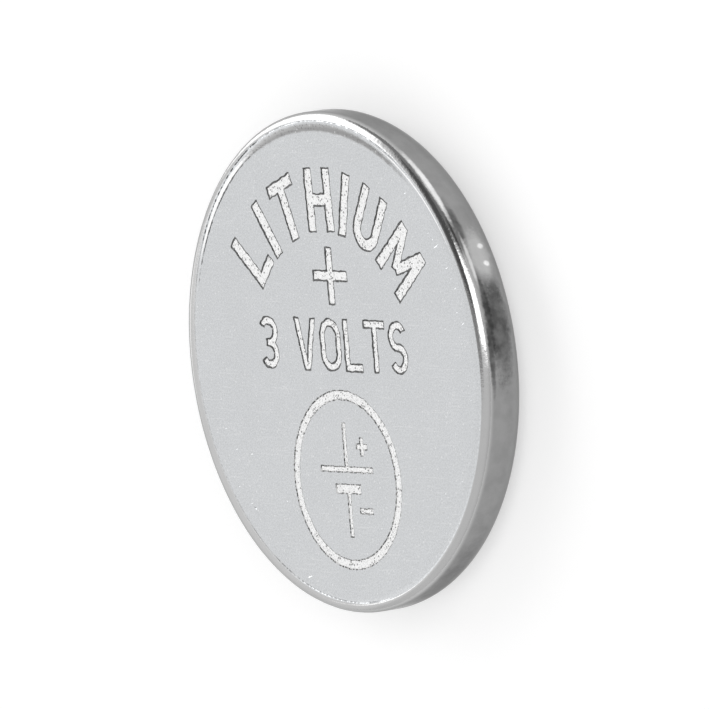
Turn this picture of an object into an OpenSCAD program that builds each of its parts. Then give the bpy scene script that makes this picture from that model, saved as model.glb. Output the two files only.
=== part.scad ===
// Lithium coin cell, 20 mm across, lying on its minus face with the plus face up.
// Millimetres, +Z up along the cell's axis, origin at the centre of the minus face.

/* [Cell] */
// Overall diameter
cell_d = 20; // [18:0.5:24.5]
// Overall height
cell_h = 2.5; // [2.3:0.1:5]

/* [Positive can] */
// Sheet thickness of the can
can_t = 0.25; // [0.2:0.01:0.3]
// Outer radius between the plus face and the wall
rim_r = 0.4; // [0.3:0.05:0.6]
// Depth of the plus face below the crest of its rim
dish_depth = 0.04; // [0.02:0.01:0.08]
// Width of the curved slope from the crest down to the plus face
dish_w = 0.4; // [0.3:0.05:0.8]
// Outer radius of the wall where it is crimped inwards
crimp_r = 1.2; // [0.9:0.05:1.45]
// Angle through which the edge of the can is crimped
crimp_turn = 92; // [75:1:105]

/* [Negative cap] */
// Sheet thickness of the cap
cap_t = 0.25; // [0.2:0.01:0.3]
// Height by which the minus face stands out of the crimp
cap_proud = 0.25; // [0.1:0.01:0.35]
// Width of the cap's flange, from its skirt in to its raised middle
flange_w = 1.05; // [0.85:0.05:1.5]
// Outer edge radius of the raised middle
cap_edge_r = 0.45; // [0.3:0.01:0.55]
// Inside radius of the bend from the raised middle to the flange
cap_neck_r = 0.15; // [0.05:0.01:0.2]

/* [Gasket] */
// Thickness of the gasket between the can and the cap
seal_t = 0.35; // [0.25:0.01:0.45]
// Thickness of the gasket's base, under the end of the cap's skirt
seal_base_t = 0.3; // [0.2:0.01:0.4]
// Thickness of the gasket's short inner leg
seal_leg_t = 0.5; // [0.3:0.05:0.6]
// Height of the inner leg, measured from the end of the skirt
seal_leg_h = 0.4; // [0.2:0.05:0.5]
// Depth of the gasket's open edge below the outside of the crimp
seal_sunk = 0.12; // [0.05:0.01:0.2]
// Clearance between the gasket and the two steel shells
seal_gap = 0.01; // [0.005:0.005:0.02]

/* [Electrodes] */
// Clearance between the lithium disc and the bend of the cap's edge
lithium_gap = 0.2; // [0.1:0.05:0.6]
// Thickness of the lithium disc
lithium_t = 0.45; // [0.3:0.01:0.6]
// Thickness of the separator
separator_t = 0.15; // [0.08:0.01:0.2]
// Height of the separator's turned-up rim
separator_h = 0.6; // [0.4:0.05:0.8]
// Clearance between the separator's rim and the cap
separator_gap = 0.12; // [0.05:0.01:0.3]
// Clearance between the pellet and the separator's rim
cathode_gap = 0.03; // [0.01:0.01:0.05]
// Chamfer round both edges of the pellet
cathode_chamfer = 0.1; // [0.06:0.01:0.2]

/* [Collector grid] */
// Thickness of the collector grid
grid_t = 0.1; // [0.08:0.01:0.15]
// Distance of the grid's edge from the edge of the pellet
grid_inset = 0.4; // [0.2:0.05:1]
// Solid border round the openings
grid_border = 0.4; // [0.3:0.05:0.8]
// Length of one diamond opening
mesh_long = 2; // [1.2:0.1:2.4]
// Width of one diamond opening
mesh_short = 1.1; // [0.7:0.1:1.4]
// Width of the strands between the openings
strand_w = 0.22; // [0.14:0.01:0.3]

/* [Hidden] */
$fn = 96;

can_r = cell_d / 2;
can_in_r = can_r - can_t;
face_r = can_r - rim_r - dish_w;
face_z = cell_h - dish_depth;
floor_z = face_z - can_t;
slope_r = (pow(dish_w, 2) + pow(dish_depth, 2)) / (2 * dish_depth);
crimp_c = [can_r - crimp_r, cap_proud + crimp_r];

skirt_r = can_in_r - seal_t;
skirt_end_z = floor_z - seal_base_t;
dome_r = skirt_r - flange_w;
flange_z = cap_proud + can_t + seal_t;
// Follows the crimp, as long as the skirt keeps a straight end
skirt_bend_r = min(crimp_r - can_t - seal_t, skirt_end_z - flange_z - cap_t);
seal_top_z = skirt_end_z + seal_gap;
seal_edge_z = cap_proud + seal_sunk;
leg_out_r = skirt_r - cap_t - seal_gap;

lithium_r = dome_r - cap_edge_r - lithium_gap;
lithium_top_z = cap_t + lithium_t;
separator_r = dome_r - cap_t - separator_gap;
separator_in_r = separator_r - separator_t;
separator_bend_r = separator_t + cathode_chamfer / 2;
cathode_r = separator_in_r - cathode_gap;
cathode_z = lithium_top_z + separator_t;
cathode_top_z = floor_z - grid_t;
grid_r = cathode_r - grid_inset;
mesh_pitch = [mesh_long, mesh_short] + 2 * strand_w * [1, 1];

// Quarter of a disc round the point c, towards side_x and side_z
module quarter(c, r, side_x, side_z) {
  translate(c)
    intersection() {
      circle(r);
      translate([side_x > 0 ? 0 : -r, side_z > 0 ? 0 : -r]) square(r);
    }
}

// Half section of a drum that reaches the axis, its lower and upper edges rounded
// unless the radius has run out
module drum(r, z0, z1, lower_r = 0, upper_r = 0) {
  lower = max(lower_r, 0);
  upper = max(upper_r, 0);
  translate([0, z0 + lower]) square([r, z1 - upper - z0 - lower]);
  if (lower > 0) {
    translate([0, z0]) square([r - lower, lower]);
    quarter([r - lower, z0 + lower], lower, 1, -1);
  }
  if (upper > 0) {
    translate([0, z1 - upper]) square([r - upper, upper]);
    quarter([r - upper, z1 - upper], upper, 1, 1);
  }
}

// What the plus face's shallow dish takes away, at a depth below the outer surface
module dish(depth) {
  translate([0, face_z - depth]) square([face_r, can_r]);
  translate([face_r, face_z + slope_r]) circle(slope_r + depth);
}

// Half section of the can's shape, at a depth below the outer surface
module can_shape(depth) {
  difference() {
    drum(can_r - depth, cap_proud + depth, cell_h - depth, crimp_r - depth, rim_r - depth);
    dish(depth);
  }
}

// Everything inside the crimp's end, seen from the centre of the crimp's bend
module crimp_mouth() {
  reach = 2 * crimp_r;
  polygon([
    crimp_c,
    crimp_c + reach * [cos(crimp_turn), -sin(crimp_turn)],
    [0, crimp_c.y - reach],
    [0, crimp_c.y]
  ]);
}

// Half section of the cap's shape, at a depth below its outer surface
module cap_shape(depth, end_z) {
  neck_c = [dome_r + cap_neck_r, flange_z - cap_neck_r];
  drum(dome_r - depth, depth, end_z, cap_edge_r - depth);
  drum(skirt_r - depth, flange_z + depth, end_z, skirt_bend_r - depth);
  difference() {
    translate([dome_r - depth, neck_c.y]) square(cap_neck_r + depth);
    translate(neck_c) circle(cap_neck_r + depth);
  }
}

module positive_can() {
  color([0.78, 0.79, 0.8])
    rotate_extrude()
      difference() {
        can_shape(0);
        can_shape(can_t);
        crimp_mouth();
      }
}

module negative_cap() {
  color([0.72, 0.73, 0.74])
    rotate_extrude()
      difference() {
        cap_shape(0, skirt_end_z);
        cap_shape(cap_t, skirt_end_z + cap_t);
      }
}

// Lines the can from the crimp's mouth to the can's floor, then turns in under the
// skirt and ends in a short inner leg
module sealing_gasket() {
  leg_r = leg_out_r - seal_leg_t;
  color([0.9, 0.91, 0.9])
    rotate_extrude()
      difference() {
        translate([dome_r + seal_gap, seal_edge_z]) square([can_r, cell_h]);
        // Less the can and all that lies outside it
        difference() {
          square(2 * can_r);
          can_shape(can_t + seal_gap);
          translate([-seal_gap, 0]) crimp_mouth();
        }
        // Less the cap and all that lies inside it, apart from the inner leg
        difference() {
          cap_shape(-seal_gap, seal_top_z);
          intersection() {
            cap_shape(cap_t + seal_gap, cell_h);
            translate([leg_r, skirt_end_z - seal_leg_h]) square([seal_leg_t, cell_h]);
          }
        }
        translate([0, flange_z]) square([leg_r, cell_h]);
      }
}

module cathode_pellet() {
  thick = cathode_top_z - cathode_z;
  color([0.16, 0.16, 0.17])
    translate([0, 0, cathode_z])
      rotate_extrude()
        polygon([
          [0, 0],
          [cathode_r - cathode_chamfer, 0],
          [cathode_r, cathode_chamfer],
          [cathode_r, thick - cathode_chamfer],
          [cathode_r - cathode_chamfer, thick],
          [0, thick]
        ]);
}

// One opening of the expanded sheet
module diamond() {
  polygon([
    [mesh_long / 2, 0], [0, mesh_short / 2],
    [-mesh_long / 2, 0], [0, -mesh_short / 2]
  ]);
}

module collector_grid() {
  columns = ceil(grid_r / mesh_pitch.x);
  rows = ceil(2 * grid_r / mesh_pitch.y);
  color([0.6, 0.6, 0.61])
    translate([0, 0, cathode_top_z])
      linear_extrude(grid_t)
        difference() {
          circle(grid_r);
          for (row = [-rows:rows], column = [-columns:columns]) {
            x = (column + (row % 2 == 0 ? 0 : 0.5)) * mesh_pitch.x;
            y = row * mesh_pitch.y / 2;
            if (norm([x, y]) + mesh_long / 2 < grid_r - grid_border)
              translate([x, y]) diamond();
          }
        }
}

module separator() {
  color([0.93, 0.93, 0.91])
    rotate_extrude()
      difference() {
        drum(separator_r, lithium_top_z, lithium_top_z + separator_h, separator_bend_r);
        drum(
          separator_in_r, cathode_z, lithium_top_z + 2 * separator_h,
          separator_bend_r - separator_t
        );
      }
}

module lithium_disc() {
  color([0.8, 0.8, 0.82])
    translate([0, 0, cap_t])
      cylinder(h = lithium_t, r = lithium_r);
}

positive_can();
negative_cap();
sealing_gasket();
cathode_pellet();
collector_grid();
separator();
lithium_disc();
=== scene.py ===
# Lithium coin cell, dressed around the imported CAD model: camera, studio, can with
# its stamped face, and the finishes of every part.
import math

import bmesh
import bpy
import numpy as np
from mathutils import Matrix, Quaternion, Vector
from mathutils.geometry import delaunay_2d_cdt


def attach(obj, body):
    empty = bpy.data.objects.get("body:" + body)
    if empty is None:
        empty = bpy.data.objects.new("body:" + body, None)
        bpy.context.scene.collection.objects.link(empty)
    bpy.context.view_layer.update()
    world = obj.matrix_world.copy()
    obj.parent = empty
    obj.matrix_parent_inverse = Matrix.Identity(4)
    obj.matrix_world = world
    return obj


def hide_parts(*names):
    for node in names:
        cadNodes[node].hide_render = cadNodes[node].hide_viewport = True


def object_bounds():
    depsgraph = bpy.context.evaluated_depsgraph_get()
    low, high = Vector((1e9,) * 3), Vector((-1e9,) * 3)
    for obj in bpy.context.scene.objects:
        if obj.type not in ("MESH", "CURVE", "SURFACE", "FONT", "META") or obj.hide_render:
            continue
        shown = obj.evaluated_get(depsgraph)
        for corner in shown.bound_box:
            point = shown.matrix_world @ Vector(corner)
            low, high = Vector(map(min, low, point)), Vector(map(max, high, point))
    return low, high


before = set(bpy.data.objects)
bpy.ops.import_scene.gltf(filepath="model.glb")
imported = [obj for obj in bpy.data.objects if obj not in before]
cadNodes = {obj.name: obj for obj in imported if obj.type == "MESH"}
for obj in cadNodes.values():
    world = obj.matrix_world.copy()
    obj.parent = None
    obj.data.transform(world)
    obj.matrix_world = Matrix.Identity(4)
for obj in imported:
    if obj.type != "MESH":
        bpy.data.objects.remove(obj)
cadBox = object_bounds()
mm = 0.001
print("frame loaded:", ", ".join(sorted(cadNodes)))


# Small helpers for node trees

def setInputs(tree, node, inputs):
    for socket, value in inputs.items():
        if isinstance(value, bpy.types.NodeSocket):
            tree.links.new(value, node.inputs[socket])
        else:
            node.inputs[socket].default_value = value


def addNode(tree, kind, inputs=None, **settings):
    node = tree.nodes.new(kind)
    for name, value in settings.items():
        setattr(node, name, value)
    setInputs(tree, node, inputs or {})
    return node


def calc(tree, operation, *values):
    return addNode(tree, "ShaderNodeMath", dict(enumerate(values)), operation=operation).outputs[0]


def smoothBand(tree, value, fromMin, fromMax, toMin=0.0, toMax=1.0):
    return addNode(tree, "ShaderNodeMapRange", {
        "Value": value, "From Min": fromMin, "From Max": fromMax, "To Min": toMin, "To Max": toMax,
    }, interpolation_type="SMOOTHSTEP").outputs["Result"]


def between(tree, mask, atZero, atOne):
    return smoothBand(tree, mask, 0.0, 1.0, atZero, atOne)


def noise(tree, place, scale, detail, roughness=0.5):
    return addNode(tree, "ShaderNodeTexNoise", {
        "Vector": place, "Scale": scale, "Detail": detail, "Roughness": roughness,
    }).outputs["Fac"]


def mapped(tree, place, **settings):
    return addNode(tree, "ShaderNodeMapping", {"Vector": place, **settings}).outputs["Vector"]


def mixColors(tree, factor, first, second):
    return addNode(tree, "ShaderNodeMix", {0: factor, 6: first, 7: second}, data_type="RGBA").outputs[2]


def tint(tree, mask, amount, color, second):
    return mixColors(tree, calc(tree, "MULTIPLY", mask, amount), color, second)


def grey(level, warmth=0.0):
    return (level * (1 + warmth), level, level * (1 - warmth), 1)


# The inputs are given by name and value. One without a value is a vector.
def newGroup(name, inputs, outputs):
    group = bpy.data.node_groups.new(name, "ShaderNodeTree")
    for socketName, value in inputs.items():
        kind = "NodeSocketVector" if value is None else "NodeSocketFloat"
        socket = group.interface.new_socket(socketName, in_out="INPUT", socket_type=kind)
        if value is not None:
            socket.default_value = value
    for socketName in outputs:
        group.interface.new_socket(socketName, in_out="OUTPUT", socket_type="NodeSocketFloat")
    return group, group.nodes.new("NodeGroupInput").outputs, group.nodes.new("NodeGroupOutput").inputs


def useGroup(tree, group, inputs):
    return addNode(tree, "ShaderNodeGroup", inputs, node_tree=group).outputs


# Camera at the photograph's viewing angle, in degrees and millimetres

photoView = {
    "azimuth": 6.64,
    "elevation": 35.64,
    "roll": -98.77,
    "distance": 1000,
    "lens": 1282.8,
    "sensor": 36,
    "aimRight": -0.196,
    "aimUp": 0.190,
    "clip": (0.01, 20),  # metres
}


def makeCamera(view):
    azimuth, elevation = math.radians(view["azimuth"]), math.radians(view["elevation"])
    back = Vector((
        math.cos(elevation) * math.cos(azimuth),
        math.cos(elevation) * math.sin(azimuth),
        math.sin(elevation),
    ))
    turn = back.to_track_quat("Z", "Y") @ Quaternion((0, 0, 1), math.radians(view["roll"]))
    aim = (cadBox[0] + cadBox[1]) / 2
    aim += turn @ Vector((view["aimRight"], view["aimUp"], 0)) * mm
    data = bpy.data.cameras.new("photoCamera")
    data.lens = view["lens"]
    data.sensor_width = view["sensor"]
    data.clip_start, data.clip_end = view["clip"]
    camera = bpy.data.objects.new("photoCamera", data)
    camera.rotation_mode = "QUATERNION"
    camera.rotation_quaternion = turn
    camera.location = aim + back * view["distance"] * mm
    bpy.context.scene.collection.objects.link(camera)
    bpy.context.scene.camera = camera


makeCamera(photoView)
print("camera placed")


# A soft-edged patch in two coordinates, the first of them an angle that wraps round

def patchGroup():
    group, given, result = newGroup("softPatch", {
        "Across": 0.0, "Up": 0.0, "Patch Across": 0.0, "Patch Up": 0.0,
        "Half Across": 10.0, "Half Up": 10.0, "Soft Across": 5.0, "Soft Up": 5.0,
    }, ["Mask"])
    masks = []
    for way in ("Across", "Up"):
        away = calc(group, "SUBTRACT", given[way], given["Patch " + way])
        away = calc(group, "ABSOLUTE", calc(group, "WRAP", away, 180.0, -180.0))
        outer = calc(group, "ADD", given["Half " + way], given["Soft " + way])
        masks.append(smoothBand(group, away, outer, given["Half " + way]))
    group.links.new(calc(group, "MULTIPLY", *masks), result["Mask"])
    return group


softPatch = patchGroup()


def patchMask(tree, across, up, centre, half, soft):
    return useGroup(tree, softPatch, {
        "Across": across, "Up": up, "Patch Across": centre[0], "Patch Up": centre[1],
        "Half Across": half[0], "Half Up": half[1], "Soft Across": soft[0], "Soft Up": soft[1],
    })["Mask"]


# Studio: pale floor, and a soft world with pale and dark panels hung round the cell. The
# panels are placed by longitude, 0 on the front side and -90 on the left, and latitude
# about the studio's own upright. A panel is: name, longitude, latitude, half width, half
# height and softness in degrees, brightness.

studio = {
    "floorSize": 3.0,  # metres
    "floorDrop": 0.01,  # millimetres below the cell
    "floorColor": grey(0.60),
    "floorGlow": 0.48,
    "open": 0.82,
    "right": (0.58967, -0.08489, -0.80318),
    "upright": (-0.02598, 0.99195, -0.12392),
    "front": (0.80723, 0.09393, 0.58271),
    "panels": [
        ("upper flag", -88, 64, 50, 9, 8, 0.30),
        ("dark flag", -47, 27, 24, 22, 8, 0.11),
        ("over the front", -8, 50, 30, 7, 6, 0.26),
        ("foot of the flag", -75, 4, 6, 6, 5, 0.20),
        ("below the flag", -58, -6, 18, 5, 5, 0.36),
        ("behind the face", -115, -14, 30, 18, 10, 1.0),
        ("long softbox", -121, 28, 27, 16, 8, 2.6),
        ("front softbox", 0, 13, 23, 13, 7, 2.7),
        ("small lamp", -101, -20, 4, 5, 4, 1.6),
    ],
}


def alongAxis(tree, direction, axis):
    turned = addNode(tree, "ShaderNodeVectorMath", {0: direction, 1: axis}, operation="DOT_PRODUCT")
    return turned.outputs["Value"]


def makeWorld():
    world = bpy.data.worlds.new("softStudio")
    bpy.context.scene.world = world
    world.use_nodes = True
    tree = world.node_tree
    tree.nodes.clear()
    direction = addNode(tree, "ShaderNodeTexCoord").outputs["Generated"]
    across, up, forward = (alongAxis(tree, direction, studio[side]) for side in ("right", "upright", "front"))
    longitude = calc(tree, "DEGREES", calc(tree, "ARCTAN2", across, forward))
    latitude = calc(tree, "DEGREES", calc(tree, "ARCSINE", up))
    light = grey(studio["open"])
    for name, panelLongitude, panelLatitude, halfWidth, halfHeight, softness, level in studio["panels"]:
        centre, half = (panelLongitude, panelLatitude), (halfWidth, halfHeight)
        mask = patchMask(tree, longitude, latitude, centre, half, (softness, softness))
        light = mixColors(tree, mask, light, grey(level))
    background = addNode(tree, "ShaderNodeBackground", {"Color": light})
    addNode(tree, "ShaderNodeOutputWorld", {"Surface": background.outputs[0]})


def makeFloor():
    half = studio["floorSize"] / 2
    level = -studio["floorDrop"] * mm
    mesh = bpy.data.meshes.new("studioFloor")
    corners = [(-half, -half, level), (half, -half, level), (half, half, level), (-half, half, level)]
    mesh.from_pydata(corners, [], [(0, 1, 2, 3)])
    floor = bpy.data.objects.new("studioFloor", mesh)
    bpy.context.scene.collection.objects.link(floor)
    paper = bpy.data.materials.new("paperFloor")
    paper.use_nodes = True
    tree = paper.node_tree
    tree.nodes.clear()
    diffuse = addNode(tree, "ShaderNodeBsdfDiffuse", {"Color": studio["floorColor"]})
    rays = addNode(tree, "ShaderNodeLightPath").outputs
    seen = calc(tree, "MAXIMUM", rays["Is Camera Ray"], rays["Is Glossy Ray"])
    seen = calc(tree, "MAXIMUM", seen, rays["Is Transmission Ray"])
    glow = addNode(tree, "ShaderNodeEmission", {
        "Color": grey(1.0), "Strength": calc(tree, "MULTIPLY", seen, studio["floorGlow"]),
    })
    lit = addNode(tree, "ShaderNodeAddShader", {0: diffuse.outputs[0], 1: glow.outputs[0]})
    clear = addNode(tree, "ShaderNodeBsdfTransparent")
    under = addNode(tree, "ShaderNodeNewGeometry").outputs["Backfacing"]
    both = addNode(tree, "ShaderNodeMixShader", {0: under, 1: lit.outputs[0], 2: clear.outputs[0]})
    addNode(tree, "ShaderNodeOutputMaterial", {"Surface": both.outputs[0]})
    mesh.materials.append(paper)


makeWorld()
makeFloor()
print("studio ready")


# Shader groups shared by the finishes. Vectors are in millimetres.

usualNoise = (0.3, 0.7)  # most of a noise texture's values lie between these


def sheetGrainGroup():
    group, given, result = newGroup(
        "sheetGrain", {"Vector": None, "Grain Size": 0.1, "Mottle Size": 2.0}, ["Grain", "Mottle", "Height"],
    )
    fine = noise(group, given["Vector"], calc(group, "DIVIDE", 1.0, given["Grain Size"]), 2.0, 0.6)
    broad = noise(group, given["Vector"], calc(group, "DIVIDE", 1.0, given["Mottle Size"]), 3.0, 0.55)
    group.links.new(smoothBand(group, fine, *usualNoise), result["Grain"])
    group.links.new(smoothBand(group, broad, *usualNoise), result["Mottle"])
    group.links.new(fine, result["Height"])
    return group


# Fine scratches in three directions: angle, scale lengthwise, shift

scratchLines = {
    "directions": ((0.5, 0.5, 3.0), (-0.9, 0.35, 11.0), (1.9, 0.6, 23.0)),
    "crosswise": 16.0, "cut": (0.70, 0.76),
}


def hairScratchGroup():
    group, given, result = newGroup("hairScratches", {"Vector": None, "Amount": 0.5}, ["Mask"])
    total = None
    for angle, lengthwise, shift in scratchLines["directions"]:
        turned = mapped(group, given["Vector"], Rotation=(0, 0, angle), Location=(shift, 0, 0),
                        Scale=(lengthwise, scratchLines["crosswise"], 1.0))
        line = smoothBand(group, noise(group, turned, 1.0, 1.0), *scratchLines["cut"])
        total = line if total is None else calc(group, "MAXIMUM", total, line)
    group.links.new(calc(group, "MULTIPLY", total, given["Amount"]), result["Mask"])
    return group


def speckGroup():
    group, given, result = newGroup(
        "specks", {"Vector": None, "Speck Size": 0.08, "Share": 0.2}, ["Mask", "Height"],
    )
    cells = addNode(group, "ShaderNodeTexVoronoi", {
        "Vector": given["Vector"], "Scale": calc(group, "DIVIDE", 1.0, given["Speck Size"]),
    })
    near = smoothBand(group, cells.outputs["Distance"], 0.5, 0.25)
    chance = addNode(group, "ShaderNodeSeparateXYZ", {"Vector": cells.outputs["Color"]}).outputs["X"]
    chosen = calc(group, "LESS_THAN", chance, given["Share"])
    group.links.new(calc(group, "MULTIPLY", near, chosen), result["Mask"])
    group.links.new(near, result["Height"])
    return group


def ringPlaceGroup():
    group, given, result = newGroup("ringPlace", {"Vector": None}, ["Azimuth", "Radius", "Height"])
    axes = addNode(group, "ShaderNodeSeparateXYZ", {"Vector": given["Vector"]}).outputs
    azimuth = calc(group, "DEGREES", calc(group, "ARCTAN2", axes["Y"], axes["X"]))
    squares = calc(group, "ADD", calc(group, "POWER", axes["X"], 2.0), calc(group, "POWER", axes["Y"], 2.0))
    group.links.new(azimuth, result["Azimuth"])
    group.links.new(calc(group, "SQRT", squares), result["Radius"])
    group.links.new(axes["Z"], result["Height"])
    return group


# The line that the stamping die has left round the rim, a little off centre and broken.
# The shifts go with the cosine and the sine of the azimuth and of its double. It is cut
# into the sheet at azimuth and half width, and painted near black as shade in the groove at azimuth, half
# width and strength.

dieLine = {
    "radius": 9.555, "shifts": (0.163, 0.056, -0.05, -0.048), "width": 0.040, "depth": 0.010,
    "from": 9.2, "to": 9.9, "cut": ((107, 48), (254, 24)), "cutFade": 12, "leastCut": 0.1,
    # drawn: where the groove is painted near black as shade; tone: that painted shade
    "drawn": ((132, 16, 1.0), (259, 19, 0.55), (85, 24, 0.5), (192, 34, 0.22)), "drawnFade": 5,
    "reach": 1.0, "topOnly": (2.30, 2.38), "breakScale": 7.0, "breaks": (0.40, 0.56), "tone": grey(0.03),
}


def dieLineGroup():
    group, given, result = newGroup("dieLine", {"Vector": None, "Azimuth": 0.0, "Radius": 9.5}, ["Mask"])
    turn = calc(group, "RADIANS", given["Azimuth"])
    twice = calc(group, "MULTIPLY", turn, 2.0)
    waves = [calc(group, wave, angle) for angle in (turn, twice) for wave in ("COSINE", "SINE")]
    line = dieLine["radius"]
    for wave, shift in zip(waves, dieLine["shifts"]):
        line = calc(group, "MULTIPLY_ADD", wave, shift, line)
    away = calc(group, "ABSOLUTE", calc(group, "SUBTRACT", given["Radius"], line))
    near = smoothBand(group, away, dieLine["width"], dieLine["width"] * 0.4)
    height = addNode(group, "ShaderNodeSeparateXYZ", {"Vector": given["Vector"]}).outputs["Z"]
    near = calc(group, "MULTIPLY", near, smoothBand(group, height, *dieLine["topOnly"]))
    breaks = noise(group, given["Vector"], dieLine["breakScale"], 1.0)
    near = calc(group, "MULTIPLY", near, smoothBand(group, breaks, *dieLine["breaks"]))
    reach, strength = dieLine["reach"], None
    for azimuth, half, level in dieLine["drawn"]:
        place = (azimuth, dieLine["radius"])
        patch = patchMask(group, given["Azimuth"], given["Radius"], place, (half, reach),
                          (dieLine["drawnFade"], reach))
        patch = calc(group, "MULTIPLY", patch, level)
        strength = patch if strength is None else calc(group, "MAXIMUM", strength, patch)
    group.links.new(calc(group, "MULTIPLY", near, strength), result["Mask"])
    return group


# A rounded patch with a ragged edge, for painted shade, painted reflections and painted highlights on the
# metal

def roundPatchGroup():
    group, given, result = newGroup("roundPatch", {
        "Across": 0.0, "Up": 0.0, "Patch Across": 0.0, "Patch Up": 0.0,
        "Half Across": 10.0, "Half Up": 1.0, "Softness": 0.4, "Ragged": 0.0,
    }, ["Mask"])
    squares = []
    for way in ("Across", "Up"):
        away = calc(group, "SUBTRACT", given[way], given["Patch " + way])
        away = calc(group, "DIVIDE", calc(group, "WRAP", away, 180.0, -180.0), given["Half " + way])
        squares.append(calc(group, "MULTIPLY", away, away))
    distance = calc(group, "SQRT", calc(group, "ADD", *squares))
    distance = calc(group, "ADD", distance, given["Ragged"])
    outer = calc(group, "ADD", 1.0, given["Softness"])
    inner = calc(group, "SUBTRACT", 1.0, given["Softness"])
    group.links.new(smoothBand(group, distance, outer, inner), result["Mask"])
    return group


sheetGrain = sheetGrainGroup()
hairScratches = hairScratchGroup()
specks = speckGroup()
ringPlace = ringPlaceGroup()
dieLineShade = dieLineGroup()
roundPatch = roundPatchGroup()


# A patch is: azimuth, radius or height, its half sizes, softness, tone

def tonePatches(tree, place, across, up, color, patches, ragged):
    wander = calc(tree, "SUBTRACT", noise(tree, place, 4.0, 4.0, 0.7), 0.5)
    wander = calc(tree, "MULTIPLY", wander, ragged)
    for azimuth, level, halfAzimuth, halfLevel, softness, tone in patches:
        mask = useGroup(tree, roundPatch, {
            "Across": across, "Up": up, "Patch Across": azimuth, "Patch Up": level,
            "Half Across": halfAzimuth, "Half Up": halfLevel, "Softness": softness, "Ragged": wander,
        })["Mask"]
        color = mixColors(tree, mask, color, grey(tone))
    return color


def grainOf(tree, place, look):
    return useGroup(tree, sheetGrain, {
        "Vector": place, "Grain Size": look["grain"], "Mottle Size": look["mottle"],
    })


def speckMask(tree, place, size, share):
    return useGroup(tree, specks, {"Vector": place, "Speck Size": size, "Share": share})["Mask"]


def scratchMask(tree, place, amount):
    return useGroup(tree, hairScratches, {"Vector": place, "Amount": amount})["Mask"]


# Paints the die's line near black, as painted shade in its groove
def paintDieLineShade(tree, place, ring, color):
    line = useGroup(tree, dieLineShade, {
        "Vector": place, "Azimuth": ring["Azimuth"], "Radius": ring["Radius"],
    })
    return mixColors(tree, line["Mask"], color, dieLine["tone"])


def startMaterial(name, metallic=0.0):
    material = bpy.data.materials.new(name)
    material.use_nodes = True
    tree = material.node_tree
    tree.nodes.clear()
    shader = addNode(tree, "ShaderNodeBsdfPrincipled", {"Metallic": metallic})
    addNode(tree, "ShaderNodeOutputMaterial", {"Surface": shader.outputs[0]})
    place = addNode(tree, "ShaderNodeTexCoord").outputs["Object"]
    return material, tree, shader, mapped(tree, place, Scale=(1 / mm, 1 / mm, 1 / mm))


def endMaterial(tree, shader, color, roughness, height, depth):
    bump = addNode(tree, "ShaderNodeBump", {"Height": height, "Distance": depth * mm, "Strength": 1.0})
    setInputs(tree, shader, {"Base Color": color, "Roughness": roughness, "Normal": bump.outputs["Normal"]})


# The plus face, with painted shade and a bright band of painted highlight in the recess along its rim, and
# the broken inner line of painted shade at the end of that band

plusFaceLook = {
    "dull": grey(0.566, -0.020), "clean": grey(0.666, -0.020), "rough": (0.27, 0.24), "edgeTint": grey(0.8),
    "grain": 0.07, "mottle": 1.6, "grainShare": 0.86, "grainDepth": 0.0004,
    "scratch": grey(0.85), "scratchAmount": 0.6, "scratchTone": 0.3,
    "dustSize": 0.11, "dustShare": 0.05, "dustTone": 0.35,
    # dark specks only at the top of the recess: speckled painted shade
    "speckledShadeColor": grey(0.15), "speckledShadeSize": 0.09, "speckledShadeShare": 0.4, "speckledShadeTone": 0.6,
    "speckledShadeZone": ((88, 9.42), (27, 0.10), (9, 0.06)),
    # patches in the recess: the dark ones painted shade, the bright ones painted highlights
    "slopeShadeAndHighlights": (
        (91, 9.39, 34, 0.15, 0.40, 0.39), (88, 9.34, 27, 0.07, 0.5, 0.32), (70, 9.41, 12, 0.07, 0.6, 0.30),
        (132, 9.41, 11, 0.070, 0.4, 0.95), (146, 9.36, 8, 0.050, 0.5, 0.93), (200, 9.46, 44, 0.12, 0.4, 0.57),
        (48, 9.58, 16, 0.04, 0.4, 0.98),
    ),
    "slopeShadeAndHighlightsRagged": 1.0,
    # a broken dark line of painted shade
    "paintedDarkLine": (
        (127, 9.32, 9, 0.022, 0.5, 0.14), (140, 9.285, 9, 0.022, 0.5, 0.06),
        (151, 9.255, 7, 0.022, 0.5, 0.06),
    ),
    "paintedDarkLineRagged": 4.0,
}


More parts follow.
